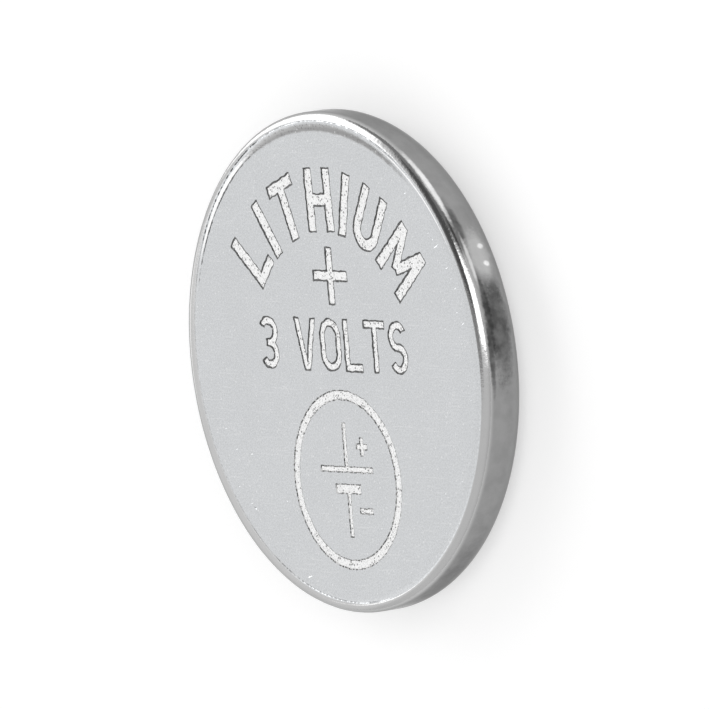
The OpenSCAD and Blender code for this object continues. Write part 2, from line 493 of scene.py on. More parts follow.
def plusFaceFinish():
    look = plusFaceLook
    material, tree, shader, place = startMaterial("plusFaceSteel", 1.0)
    grain = grainOf(tree, place, look)
    ring = useGroup(tree, ringPlace, {"Vector": place})
    azimuth, radius, share = ring["Azimuth"], ring["Radius"], look["grainShare"]
    tone = calc(tree, "MULTIPLY", grain["Mottle"], 1.0 - share)
    tone = calc(tree, "MULTIPLY_ADD", grain["Grain"], share, tone)
    color = mixColors(tree, tone, look["dull"], look["clean"])
    # painted shade and painted highlights in the recess
    color = tonePatches(tree, place, azimuth, radius, color, look["slopeShadeAndHighlights"], look["slopeShadeAndHighlightsRagged"])
    # the broken dark line, painted shade
    color = tonePatches(tree, place, azimuth, radius, color, look["paintedDarkLine"], look["paintedDarkLineRagged"])
    # speckled painted shade in the top of the recess
    speckledShade = speckMask(tree, place, look["speckledShadeSize"], look["speckledShadeShare"])
    speckledShade = calc(tree, "MULTIPLY", speckledShade, patchMask(tree, azimuth, radius, *look["speckledShadeZone"]))
    color = tint(tree, speckledShade, look["speckledShadeTone"], color, look["speckledShadeColor"])
    mask = scratchMask(tree, place, look["scratchAmount"])
    color = tint(tree, mask, look["scratchTone"], color, look["scratch"])
    dust = speckMask(tree, place, look["dustSize"], look["dustShare"])
    color = tint(tree, dust, look["dustTone"], color, look["scratch"])
    color = paintDieLineShade(tree, place, ring, color)
    shader.inputs["Specular Tint"].default_value = look["edgeTint"]
    endMaterial(tree, shader, color, between(tree, tone, *look["rough"]), grain["Height"], look["grainDepth"])
    return material


# The can's wall, rim and crimp. The painted reflections, dark patches of painted shade and light patches of
# painted highlight, go by height; the painted highlight lines along the crest go by radius, which is raised
# below the rim so that they stay on top.

wallLook = {
    # One steel in three tones: the wall is painted darker as shade, the rim and the crimp lighter as painted
    # light
    "wall": grey(0.285), "rim": grey(0.55), "crimp": grey(0.36), "worn": grey(0.42),
    "rimLevel": (2.05, 2.38), "crimpLevel": (1.35, 0.8), "wornAmount": 0.28, "wornLessOnRim": 0.2,
    "grain": 0.13, "mottle": 0.7, "grainDepth": 0.006, "rough": (0.17, 0.11), "edgeTint": grey(0.6),
    # painted reflections: the dark patches are painted shade and dark reflection, the light ones, the bright
    # blob and the small white spots are painted highlights
    "paintedReflections": (
        (-70, 1.55, 24, 0.48, 0.5, 0.20), (10, 1.50, 12, 0.52, 0.45, 0.08), (13, 1.92, 9, 0.15, 0.4, 0.03),
        (3, 2.06, 8, 0.12, 0.4, 0.07), (33, 2.01, 7, 0.21, 0.4, 0.08), (32, 2.20, 4.5, 0.12, 0.5, 0.12),
        (26, 1.50, 5.5, 0.50, 0.5, 0.48), (25, 2.05, 5.5, 0.075, 0.5, 0.66),
        (46.5, 2.18, 9.5, 0.11, 0.5, 0.86),
        (26.2, 1.33, 4.2, 0.20, 0.8, 0.52), (24, 1.31, 0.6, 0.13, 0.5, 1.0),
        (28.2, 1.30, 0.6, 0.14, 0.5, 1.0),
        (128, 1.7, 20, 0.40, 0.5, 0.20), (176, 1.9, 9, 0.18, 0.5, 0.42), (205, 1.5, 18, 0.45, 0.5, 0.21),
        (246, 2.0, 8, 0.13, 0.5, 0.46), (268, 1.5, 14, 0.45, 0.5, 0.22), (259, 2.21, 17, 0.11, 0.5, 0.38),
    ),
    "paintedReflectionsRagged": 1.1,
    # near-white lines along the crest: painted highlights
    "paintedCrestHighlights": (
        (-57, 9.65, 34, 0.035, 0.4, 0.98), (47, 9.63, 14, 0.030, 0.5, 0.98),
        (170, 9.64, 20, 0.025, 0.5, 0.90),
    ),
    "paintedCrestHighlightsRagged": 1.0, "keepOnTop": 20.0,
}


def drawnWallFinish():
    look = wallLook
    material, tree, shader, place = startMaterial("drawnWallSteel", 1.0)
    grain = grainOf(tree, place, look)
    ring = useGroup(tree, ringPlace, {"Vector": place})
    azimuth, height = ring["Azimuth"], ring["Height"]
    # painted light and shade: the rim and the crimp lighter than the darker wall
    upper = smoothBand(tree, height, *look["rimLevel"])
    color = mixColors(tree, upper, look["wall"], look["rim"])
    color = mixColors(tree, smoothBand(tree, height, *look["crimpLevel"]), color, look["crimp"])
    # paint the reflections, shade and highlights onto the wall
    color = tonePatches(tree, place, azimuth, height, color, look["paintedReflections"], look["paintedReflectionsRagged"])
    amount = calc(tree, "SUBTRACT", look["wornAmount"], calc(tree, "MULTIPLY", upper, look["wornLessOnRim"]))
    color = tint(tree, grain["Mottle"], amount, color, look["worn"])
    onTop = calc(tree, "MULTIPLY_ADD", calc(tree, "SUBTRACT", 1.0, upper), look["keepOnTop"], ring["Radius"])
    # painted highlight lines along the crest
    color = tonePatches(tree, place, azimuth, onTop, color, look["paintedCrestHighlights"], look["paintedCrestHighlightsRagged"])
    color = paintDieLineShade(tree, place, ring, color)
    shader.inputs["Specular Tint"].default_value = look["edgeTint"]
    endMaterial(tree, shader, color, between(tree, grain["Grain"], *look["rough"]), grain["Height"],
                look["grainDepth"])
    return material


# The stamped marks: stippled floors and dark, broken edges. The ring and its symbol are
# stamped more faintly than the words, so a pair of values here is for words and ring.

markLook = {
    "frost": grey(0.97), "fleck": grey(0.45), "fleckSize": 0.060, "fleckShare": (0.55, 0.85),
    "fleckTone": 0.55,
    "speck": grey(0.16), "speckSize": 0.10, "speckShare": 0.30, "speckTone": 0.9,
    "floorRough": 0.75, "floorDepth": 0.006,
    "edge": (grey(0.015), grey(0.11)), "grain": 0.12, "mottle": 0.5, "edgeRough": 0.5, "edgeDepth": 0.004,
    "breakScale": 9.0, "breakFrom": (0.62, 0.46), "breakWidth": 0.10, "gap": grey(0.62), "gapTone": 0.9,
}


def ringZone(tree, place):
    centre = (*faceMarks["ringCentre"], canShell["faceHeight"])
    away = addNode(tree, "ShaderNodeVectorMath", {0: place, 1: centre}, operation="DISTANCE").outputs["Value"]
    return smoothBand(tree, away, *faceMarks["ringZone"])


def markFloorFinish():
    look = markLook
    material, tree, shader, place = startMaterial("frostedMark")
    speck = useGroup(tree, specks, {
        "Vector": place, "Speck Size": look["speckSize"], "Share": look["speckShare"],
    })
    share = between(tree, ringZone(tree, place), *look["fleckShare"])
    fleck = speckMask(tree, place, look["fleckSize"], share)
    color = tint(tree, fleck, look["fleckTone"], look["frost"], look["fleck"])
    color = tint(tree, speck["Mask"], look["speckTone"], color, look["speck"])
    endMaterial(tree, shader, color, look["floorRough"], speck["Height"], look["floorDepth"])
    return material


def markEdgeFinish():
    look = markLook
    material, tree, shader, place = startMaterial("markEdge")
    grain = grainOf(tree, place, look)
    color = mixColors(tree, grain["Grain"], *look["edge"])
    start = between(tree, ringZone(tree, place), *look["breakFrom"])
    gaps = smoothBand(tree, noise(tree, place, look["breakScale"], 2.0), start,
                      calc(tree, "ADD", start, look["breakWidth"]))
    color = tint(tree, gaps, look["gapTone"], color, look["gap"])
    endMaterial(tree, shader, color, look["edgeRough"], grain["Height"], look["edgeDepth"])
    return material


# The parts that keep the CAD shape

capLook = {
    "name": "capSteel", "metallic": 1.0, "grain": 0.12, "mottle": 2.4, "colors": (grey(0.56), grey(0.64)),
    "rough": (0.38, 0.28), "grainDepth": 0.002,
    "scratch": grey(0.85), "scratchAmount": 0.7, "scratchTone": 0.3,
}
gasketLook = {
    "name": "milkyPlastic", "metallic": 0.0, "grain": 0.2, "mottle": 1.2,
    "colors": ((0.80, 0.80, 0.77, 1), (0.88, 0.88, 0.86, 1)), "rough": (0.45, 0.32), "grainDepth": 0.002,
}
gridLook = {
    "name": "expandedSteel", "metallic": 1.0, "grain": 0.08, "mottle": 0.7,
    "colors": (grey(0.42), grey(0.58)),
    "rough": (0.42, 0.28), "grainDepth": 0.003,
}


def grainyFinish(look):
    material, tree, shader, place = startMaterial(look["name"], look["metallic"])
    grain = grainOf(tree, place, look)
    color = mixColors(tree, grain["Mottle"], *look["colors"])
    if "scratch" in look:
        scratch = scratchMask(tree, place, look["scratchAmount"])
        color = tint(tree, scratch, look["scratchTone"], color, look["scratch"])
    endMaterial(tree, shader, color, between(tree, grain["Grain"], *look["rough"]), grain["Height"],
                look["grainDepth"])
    return material


cathodeLook = {
    "grain": 0.14, "mottle": 1.0, "colors": (grey(0.018), grey(0.040)),
    "rough": (0.85, 0.45), "grainDepth": 0.02,
    "speck": grey(0.16), "speckSize": 0.12, "speckShare": 0.25, "speckTone": 0.6,
}


def cathodeFinish():
    look = cathodeLook
    material, tree, shader, place = startMaterial("pressedCathodeMix")
    grain = grainOf(tree, place, look)
    speck = speckMask(tree, place, look["speckSize"], look["speckShare"])
    color = mixColors(tree, grain["Mottle"], *look["colors"])
    color = tint(tree, speck, look["speckTone"], color, look["speck"])
    rough = between(tree, speck, *look["rough"])
    endMaterial(tree, shader, color, rough, grain["Height"], look["grainDepth"])
    return material


fleeceLook = {
    "turns": (0.3, 1.4, 2.4), "scale": (1.2, 14.0, 6.0), "strand": (0.5, 0.75), "depth": 0.015,
    "colors": ((0.74, 0.74, 0.71, 1), (0.90, 0.90, 0.88, 1)), "rough": (0.95, 0.8),
}


def separatorFinish():
    look = fleeceLook
    material, tree, shader, place = startMaterial("fleece")
    fibres = None
    for angle in look["turns"]:
        line = noise(tree, mapped(tree, place, Rotation=(0, 0, angle), Scale=look["scale"]), 1.0, 2.0)
        fibres = line if fibres is None else calc(tree, "MAXIMUM", fibres, line)
    strand = smoothBand(tree, fibres, *look["strand"])
    color = mixColors(tree, strand, *look["colors"])
    endMaterial(tree, shader, color, between(tree, strand, *look["rough"]), strand, look["depth"])
    return material


lithiumLook = {
    "grain": 0.2, "mottle": 1.8, "colors": ((0.56, 0.55, 0.53, 1), (0.74, 0.74, 0.73, 1)),
    "rough": (0.55, 0.35),
    "rolled": (0.4, 9.0, 1.0), "rolledDepth": 0.006,
}


def lithiumFinish():
    look = lithiumLook
    material, tree, shader, place = startMaterial("rolledLithium", 1.0)
    grain = grainOf(tree, place, look)
    lines = noise(tree, mapped(tree, place, Scale=look["rolled"]), 1.0, 3.0)
    color = mixColors(tree, grain["Mottle"], *look["colors"])
    rough = between(tree, grain["Mottle"], *look["rough"])
    endMaterial(tree, shader, color, rough, lines, look["rolledDepth"])
    return material


print("shader groups made")


# Marks stamped into the plus face: a plus sign, generic words and the circuit
# symbol of a cell. Sizes in millimetres, +X to the right and +Y up the words.

faceMarks = {
    "word": "LITHIUM", "wordHeight": 2.6, "wordStroke": 0.55, "wordRadius": 5.2,
    "wordFrom": 146, "wordTo": 30,
    "rating": "3 VOLTS", "ratingHeight": 2.14, "ratingStroke": 0.37,
    "ratingLeft": -4.95, "ratingRight": 4.95, "ratingBase": -0.35,
    "plusCentre": (0.16, 3.48), "plusSize": 2.33, "plusStroke": 0.47,
    "ringCentre": (0.20, -4.66), "ringRadius": 3.6, "ringStroke": 0.42, "ringCrisp": 1.4,
    "ringZone": (4.2, 3.8), "symbolStroke": 0.27, "shortPlate": 0.42,
    "edgeWidth": 0.075, "depth": 0.022, "outlineStep": 0.04, "leastPoints": 12, "gridStep": 0.03,
    "area": ((-8.2, 8.2), (-8.8, 8.3)), "weld": 1e-6,
    "wobble": 0.011, "wobbleSeed": 18, "wobbleWaves": 14, "wobbleLength": (0.14, 0.5),
    "stipple": 0.010, "stippleRange": (-0.6, 1.0), "stippleStep": 0.065, "stippleShift": 0.4,
    "stippleMargin": 0.025, "stippleSeed": 7,
}


def bar(start, end, width):
    return ("bar", Vector(start), Vector(end), width / 2)


def bow(centre, radius, fromAngle, toAngle, width):
    return ("bow", Vector(centre), radius, fromAngle, toAngle, width / 2)


# A letter's width and its strokes, in shares of its height

def glyph(letter, stroke):
    s, h = stroke, stroke / 2
    usual, narrow, wide, vee = 0.68, 0.66, 0.86, 0.72
    oval, r = (narrow - s) / 2, (1 - s) / 4
    shapes = {
        "L": (0.56, [bar((h, 0), (h, 1), s), bar((0, h), (0.56, h), s)]),
        "I": (s, [bar((h, 0), (h, 1), s)]),
        "T": (usual, [bar((0, 1 - h), (usual, 1 - h), s), bar((0.34, 0), (0.34, 1), s)]),
        "H": (usual, [bar((h, 0), (h, 1), s), bar((usual - h, 0), (usual - h, 1), s),
                      bar((0, 0.5), (usual, 0.5), s)]),
        "U": (usual, [bar((h, 0.28), (h, 1), s), bar((usual - h, 0.28), (usual - h, 1), s),
                      bow((0.34, 0.34), 0.34 - h, 164, 376, s)]),
        "M": (wide, [bar((h, 0), (h, 1), s), bar((wide - h, 0), (wide - h, 1), s),
                     bar((h * 0.7, 1.1), (0.43, 0.28), s * 0.95),
                     bar((wide - h * 0.7, 1.1), (0.43, 0.28), s * 0.95)]),
        "V": (vee, [bar((h * 0.85, 1.1), (0.37, -0.1), s), bar((vee - h * 0.85, 1.1), (0.35, -0.1), s)]),
        "O": (narrow, [bow((0.33, 1 - h - oval), oval, -16, 196, s), bow((0.33, h + oval), oval, 164, 376, s),
                       bar((h, h + oval - 0.06), (h, 1.06 - h - oval), s),
                       bar((narrow - h, h + oval - 0.06), (narrow - h, 1.06 - h - oval), s)]),
        "3": ((1 + s) / 2, [bow((r + h, 1 - h - r), r, -110, 155, s), bow((r + h, h + r), r, -155, 110, s)]),
        "S": ((1 + s) / 2, [bow((r + h, 1 - h - r), r, 25, 290, s), bow((r + h, h + r), r, -155, 110, s)]),
        " ": (0.34, []),
    }
    return shapes[letter]


def placeGlyph(letter, stroke, height, origin, angle):
    shapes = glyph(letter, stroke / height)[1]
    return {"shapes": shapes, "letter": letter, "height": height, "origin": origin, "angle": angle}


def widthsOf(word, stroke, height):
    return [glyph(letter, stroke / height)[0] * height for letter in word]


# The letters of the arched word stand upright on a circle
def archedWord():
    m = faceMarks
    marks, along = [], 0.0
    widths = widthsOf(m["word"], m["wordStroke"], m["wordHeight"])
    middle = m["wordRadius"] + m["wordHeight"] / 2
    span = math.radians(m["wordFrom"] - m["wordTo"]) * middle
    gap = (span - sum(widths)) / (len(widths) - 1)
    for letter, width in zip(m["word"], widths):
        angle = math.radians(m["wordFrom"]) - (along + width / 2) / middle
        turn = angle - math.pi / 2
        outwards = Vector((math.cos(angle), math.sin(angle)))
        across = Vector((math.cos(turn), math.sin(turn)))
        origin = outwards * m["wordRadius"] - across * width / 2
        marks.append(placeGlyph(letter, m["wordStroke"], m["wordHeight"], origin, turn))
        along += width + gap
    return marks


def straightRow():
    m = faceMarks
    marks, x = [], m["ratingLeft"]
    widths = widthsOf(m["rating"], m["ratingStroke"], m["ratingHeight"])
    gap = (m["ratingRight"] - m["ratingLeft"] - sum(widths)) / (len(widths) - 1)
    for letter, width in zip(m["rating"], widths):
        origin = Vector((x, m["ratingBase"]))
        marks.append(placeGlyph(letter, m["ratingStroke"], m["ratingHeight"], origin, 0.0))
        x += width + gap
    return marks


def allMarks():
    m = faceMarks
    c, half, s = Vector(m["plusCentre"]), m["plusSize"] / 2, m["plusStroke"]
    ends = (Vector((half, 0)), Vector((0, half)))
    plus = [bar(c - end, c + end, s) for end in ends]
    # ring with the circuit symbol of one cell: start, end and width of each stroke
    c, s, w = Vector(m["ringCentre"]), m["ringStroke"], m["symbolStroke"]
    strokes = [
        ((0, 0.42), (0, 2.3), w), ((0, -0.3), (0, -2.3), w),
        ((-1.75, 0.42), (1.75, 0.42), w), ((-0.85, -0.36), (0.85, -0.36), m["shortPlate"]),
        ((0.72, 1.35), (1.5, 1.35), w), ((1.11, 0.96), (1.11, 1.74), w), ((0.66, -1.22), (1.56, -1.22), w),
    ]
    ring = [bar(c + Vector(a), c + Vector(b), width) for a, b, width in strokes]
    ring.append(bow(c, m["ringRadius"] - s / 2, -180, 180, s))
    return [*archedWord(), *straightRow(), {"shapes": plus}, {"shapes": ring, "crisp": m["ringCrisp"]}]


def distanceToShape(shape, x, y):
    if shape[0] == "bar":
        _, start, end, half = shape
        along = (end - start).normalized()
        centre, length = (start + end) / 2, (end - start).length / 2
        u = (x - centre.x) * along.x + (y - centre.y) * along.y
        v = (y - centre.y) * along.x - (x - centre.x) * along.y
        return np.maximum(np.abs(u) - length, np.abs(v) - half)
    _, centre, radius, fromAngle, toAngle, half = shape
    dx, dy = x - centre.x, y - centre.y
    rho = np.hypot(dx, dy)
    distance = np.abs(rho - radius) - half
    if toAngle - fromAngle >= 360:
        return distance
    middle = math.radians((fromAngle + toAngle) / 2)
    turned = np.abs((np.arctan2(dy, dx) - middle + math.pi) % (2 * math.pi) - math.pi)
    beyond = turned - math.radians((toAngle - fromAngle) / 2)
    return np.maximum(distance, rho * beyond)


wobbleWaves = np.random.default_rng(faceMarks["wobbleSeed"]).uniform(0, 1, (faceMarks["wobbleWaves"], 3))


def wobbleAt(x, y):
    shortest, spread = faceMarks["wobbleLength"]
    total = 0
    for direction, wave, phase in wobbleWaves:
        k = 2 * math.pi / (shortest + spread * wave)
        a = 2 * math.pi * direction
        total = total + np.sin(k * (x * math.cos(a) + y * math.sin(a)) + 2 * math.pi * phase)
    return total * faceMarks["wobble"] / math.sqrt(len(wobbleWaves) / 2)


# How far each point lies outside the marks, in millimetres, and less than 0 inside them

def nearest(shapes, x, y):
    return np.minimum.reduce([np.full(np.shape(x), 9.0)] + [distanceToShape(shape, x, y) for shape in shapes])


def markField(marks, x, y):
    field = nearest([], x, y)
    for mark in marks:
        if "letter" in mark:
            dx, dy = x - mark["origin"].x, y - mark["origin"].y
            c, s = math.cos(mark["angle"]), math.sin(mark["angle"])
            size = mark["height"]
            u, v = (dx * c + dy * s) / size, (dy * c - dx * s) / size
            beyond = np.abs(v - 0.5) - 0.5  # cut off at the letter's foot and top
            inside = np.maximum(nearest(mark["shapes"], u, v), beyond) * size
        else:
            inside = nearest(mark["shapes"], x, y) * mark.get("crisp", 1.0)
        field = np.minimum(field, inside)
    return field + wobbleAt(x, y)


# The closed lines along which a field on a grid takes the given level

def traceOutlines(field, xs, ys, level):
    step = xs[1] - xs[0]
    below = field < level
    mixed = below[:-1, :-1].astype(int) + below[:-1, 1:] + below[1:, :-1] + below[1:, 1:]
    links = {}

    def join(a, b):
        links.setdefault(a, []).append(b)
        links.setdefault(b, []).append(a)

    for j, i in zip(*np.nonzero((mixed > 0) & (mixed < 4))):
        edges = [(j, i, 0), (j, i + 1, 1), (j + 1, i, 0), (j, i, 1)]
        foot, right, top, left = (j, i), (j, i + 1), (j + 1, i + 1), (j + 1, i)
        ends = [(foot, right), (right, top), (left, top), (foot, left)]
        cut = [e for e, (a, b) in zip(edges, ends) if below[a] != below[b]]
        if len(cut) == 2:
            join(cut[0], cut[1])
        elif below[j, i] == (field[j:j + 2, i:i + 2].mean() < level):
            join(cut[0], cut[1])
            join(cut[2], cut[3])
        else:
            join(cut[0], cut[3])
            join(cut[1], cut[2])

    def pointOf(key):
        j, i, upright = key
        a = field[j, i] - level
        b = (field[j + 1, i] if upright else field[j, i + 1]) - level
        share = a / (a - b) * step
        return (xs[i], ys[j] + share) if upright else (xs[i] + share, ys[j])

    loops, used = [], set()
    for start in links:
        if start in used:
            continue
        loop, here, last = [], start, None
        while here not in used:
            used.add(here)
            loop.append(pointOf(here))
            onward = [k for k in links[here] if k != last]
            last, here = here, onward[0] if onward[0] not in used or len(onward) == 1 else onward[-1]
        loops.append(np.array(loop))
    return loops


def evenSteps(loop, step):
    closed = np.vstack([loop, loop[:1]])
    lengths = np.hypot(*np.diff(closed, axis=0).T)
    travelled = np.concatenate([[0], np.cumsum(lengths)])
    count = max(8, int(round(travelled[-1] / step)))
    wanted = np.linspace(0, travelled[-1], count, endpoint=False)
    return np.column_stack([np.interp(wanted, travelled, closed[:, k]) for k in (0, 1)])


# Small nicks that handling has left in the plus face: x, y, angle, length, width, depth

faceNicks = [
    (7.43, 4.85, 27, 0.47, 0.10, 0.020), (8.80, 1.83, 34, 0.28, 0.10, 0.020),
    (8.47, 3.20, 25, 0.20, 0.07, 0.014), (8.45, 2.25, 23, 0.12, 0.08, 0.016),
    (7.57, 1.58, 30, 0.10, 0.08, 0.016), (7.25, 5.12, 35, 0.20, 0.07, 0.012),
    (8.02, 3.99, 19, 0.22, 0.07, 0.014), (8.25, 3.58, 37, 0.16, 0.07, 0.014),
    (5.66, 6.90, 25, 0.24, 0.07, 0.012), (7.00, 5.37, 41, 0.14, 0.07, 0.014),
    (8.90, -1.22, 30, 0.12, 0.07, 0.014), (7.85, -4.46, 30, 0.12, 0.07, 0.014),
    (6.68, -4.99, 30, 0.12, 0.07, 0.014), (-6.20, -5.97, -28, 0.18, 0.10, 0.020),
    (-7.18, -5.10, -16, 0.12, 0.09, 0.018), (-7.14, -3.62, 15, 0.12, 0.08, 0.016),
    (-6.16, -3.78, -26, 0.13, 0.08, 0.016), (-7.77, -2.81, 17, 0.10, 0.07, 0.014),
    (-5.92, -6.40, 33, 0.14, 0.07, 0.012), (-2.91, -8.60, 11, 0.36, 0.10, 0.018),
    (-4.01, -5.62, 20, 0.10, 0.06, 0.010), (-6.43, -5.78, -6, 0.11, 0.06, 0.010),
]


def nickPoints(x, y, angle, length, width, depth):
    c, s = math.cos(math.radians(angle)), math.sin(math.radians(angle))
    corners = 12
    rim, floor = [], []
    for k in range(corners):
        a = 2 * math.pi * k / corners
        u, v = math.cos(a) * length / 2, math.sin(a) * width / 2
        rim.append((x + u * c - v * s, y + u * s + v * c))
    for t in (-0.5, 0.0, 0.5):
        floor.append((x + t * length / 2 * c, y + t * length / 2 * s, -depth * (1 - 0.5 * abs(t))))
    return rim, floor


# The can: its section in millimetres, revolved with Geometry Nodes, closed by the stamped face

canShell = {
    "segments": 480, "pathRadius": 9.0,
    "radius": 10.0, "thickness": 0.25, "rimRadius": 0.4, "faceRadius": 9.2,
    "faceHeight": 2.46, "crest": 2.5, "slopeRadius": 2.02, "crestRounding": 0.003,
    "crimpRadius": 1.2, "crimpLift": 0.25, "crimpTurn": 92, "lipRounding": 0.03, "lipCorner": 0.3,
    # rows of points along the section
    "rowStep": 0.032, "rowsInside": 10, "rowsOutside": 8, "leastGap": 0.01, "lastRow": 9.80,
    "rimFrom": 54, "rimRows": 14, "wallRows": 6, "crimpRows": 30, "lipStart": 1.4, "lipEnd": 1.8,
    "innerRows": 14, "innerRim": (84, 6), "innerSlope": (-81.5, -90, 4), "innerFloor": (7.0, 4.5, 2.0, 0.6),
    # where the plus face's look begins, how near points are joined, and what counts as a sharp edge
    "faceLookAbove": 2.4, "faceLookWithin": 9.6, "weld": 0.0006, "lineAbove": 2.35, "onLine": 0.001,
    "sharpMark": 0.14, "sharpElsewhere": 0.7,
    # unevenness of the rim and the wall
    "dent": 0.0035, "dentBeyond": 9.76, "dentAbove": 1.4, "dentWaves": 9, "dentRounds": (9, 50),
    "dentSlant": 2.2, "dentSeed": 31,
}


def arcPoints(centre, radius, fromAngle, toAngle, count):
    angles = np.radians(np.linspace(fromAngle, toAngle, count))
    return [(centre[0] + radius * math.cos(a), centre[1] + radius * math.sin(a)) for a in angles]


def topHeight(r):
    c = canShell
    if r <= c["faceRadius"]:
        return c["faceHeight"]
    rimCentre = c["radius"] - c["rimRadius"]
    slope = c["faceHeight"] + c["slopeRadius"] - math.sqrt(c["slopeRadius"] ** 2 - (r - c["faceRadius"]) ** 2)
    rim = c["crest"] - c["rimRadius"] + math.sqrt(max(c["rimRadius"] ** 2 - max(r - rimCentre, 0) ** 2, 0))
    apart = max(c["crestRounding"] - abs(slope - rim), 0)
    return min(slope, rim) - apart ** 2 / (4 * c["crestRounding"])


# Points of the slope and the rim's inner side, closer together at the die's line
def topPoints():
    c = canShell
    groove, half, step = dieLine["radius"], dieLine["width"] / 2, c["rowStep"]
    radii = [groove - half - step * k for k in range(c["rowsInside"], 0, -1)]
    radii += [groove - half, groove, groove + half]
    radii = [c["faceRadius"]] + [r for r in radii if r > c["faceRadius"] + c["leastGap"]]
    beyond = (groove + half + step * k for k in range(1, c["rowsOutside"] + 1))
    radii += [r for r in beyond if r < c["lastRow"]]
    return [(r, topHeight(r) - (dieLine["depth"] if r == groove else 0.0)) for r in radii]


# The sheared lip with its two small roundings
def lipPoints(crimpCentre):
    c = canShell
    turn = math.radians(c["crimpTurn"])
    out = np.array((math.cos(turn), -math.sin(turn)))
    along = np.array((-math.sin(turn), -math.cos(turn)))
    outer, k, corner = c["crimpRadius"], c["lipRounding"], c["lipCorner"]
    inner = outer - c["thickness"]
    steps = [(outer - corner * k, corner * k), (outer - k, 0.0),
             (inner + k, 0.0), (inner + corner * k, corner * k)]
    return [tuple(np.array(crimpCentre) + out * distance - along * back) for distance, back in steps]


def canSection():
    c = canShell
    r, t, rim, crimp, turn = c["radius"], c["thickness"], c["rimRadius"], c["crimpRadius"], c["crimpTurn"]
    slopeCentre = (c["faceRadius"], c["faceHeight"] + c["slopeRadius"])
    rimCentre = (r - rim, c["crest"] - rim)
    crimpCentre = (r - crimp, c["crimpLift"] + crimp)
    points = topPoints()
    points += arcPoints(rimCentre, rim, c["rimFrom"], 0, c["rimRows"])
    points += [(r, z) for z in np.linspace(rimCentre[1], crimpCentre[1], c["wallRows"])[1:-1]]
    points += arcPoints(crimpCentre, crimp, 0, -turn + c["lipStart"], c["crimpRows"])
    points += lipPoints(crimpCentre)
    points += arcPoints(crimpCentre, crimp - t, -turn + c["lipEnd"], 0, c["innerRows"])
    points += [(r - t, rimCentre[1])]
    points += arcPoints(rimCentre, rim - t, 0, *c["innerRim"])[1:]
    points += arcPoints(slopeCentre, c["slopeRadius"] + t, *c["innerSlope"])
    points += [(inner, c["faceHeight"] - t) for inner in c["innerFloor"]]
    return points


def revolveTree():
    tree = bpy.data.node_groups.new("revolvedSection", "GeometryNodeTree")
    face = tree.interface
    face.new_socket("Geometry", in_out="INPUT", socket_type="NodeSocketGeometry")
    sockets = {
        name: face.new_socket(name, in_out="INPUT", socket_type=kind).identifier
        for name, kind in (("Segments", "NodeSocketInt"), ("Path Radius", "NodeSocketFloat"),
                           ("Material", "NodeSocketMaterial"))
    }
    face.new_socket("Geometry", in_out="OUTPUT", socket_type="NodeSocketGeometry")
    given = tree.nodes.new("NodeGroupInput").outputs
    section = addNode(tree, "GeometryNodeMeshToCurve", {"Mesh": given["Geometry"]})
    path = addNode(tree, "GeometryNodeCurvePrimitiveCircle", {
        "Resolution": given["Segments"], "Radius": given["Path Radius"],
    })
    upright = addNode(tree, "GeometryNodeSetCurveNormal", {"Curve": path.outputs["Curve"]}, mode="Z_UP")
    swept = addNode(tree, "GeometryNodeCurveToMesh", {
        "Curve": upright.outputs["Curve"], "Profile Curve": section.outputs["Curve"],
    })
    real = addNode(tree, "GeometryNodeRealizeInstances", {"Geometry": swept.outputs["Mesh"]})
    coated = addNode(tree, "GeometryNodeSetMaterial", {
        "Geometry": real.outputs["Geometry"], "Material": given["Material"],
    })
    tree.links.new(coated.outputs["Geometry"], tree.nodes.new("NodeGroupOutput").inputs["Geometry"])
    return tree, sockets


def revolvedMesh(name, points, settings, material):
    tree, sockets = revolveTree()
    reach = settings["pathRadius"]
    mesh = bpy.data.meshes.new(name + "Section")
    mesh.from_pydata(
        [((r - reach) * mm, -z * mm, 0) for r, z in points], [(i, i + 1) for i in range(len(points) - 1)], [],
    )
    piece = bpy.data.objects.new(name + "Section", mesh)
    bpy.context.scene.collection.objects.link(piece)
    modifier = piece.modifiers.new("revolve", "NODES")
    modifier.node_group = tree
    modifier[sockets["Segments"]] = settings["segments"]
    modifier[sockets["Path Radius"]] = reach * mm
    modifier[sockets["Material"]] = material
    evaluated = piece.evaluated_get(bpy.context.evaluated_depsgraph_get())
    made = bpy.data.meshes.new_from_object(evaluated)
    bpy.data.objects.remove(piece)
    return made


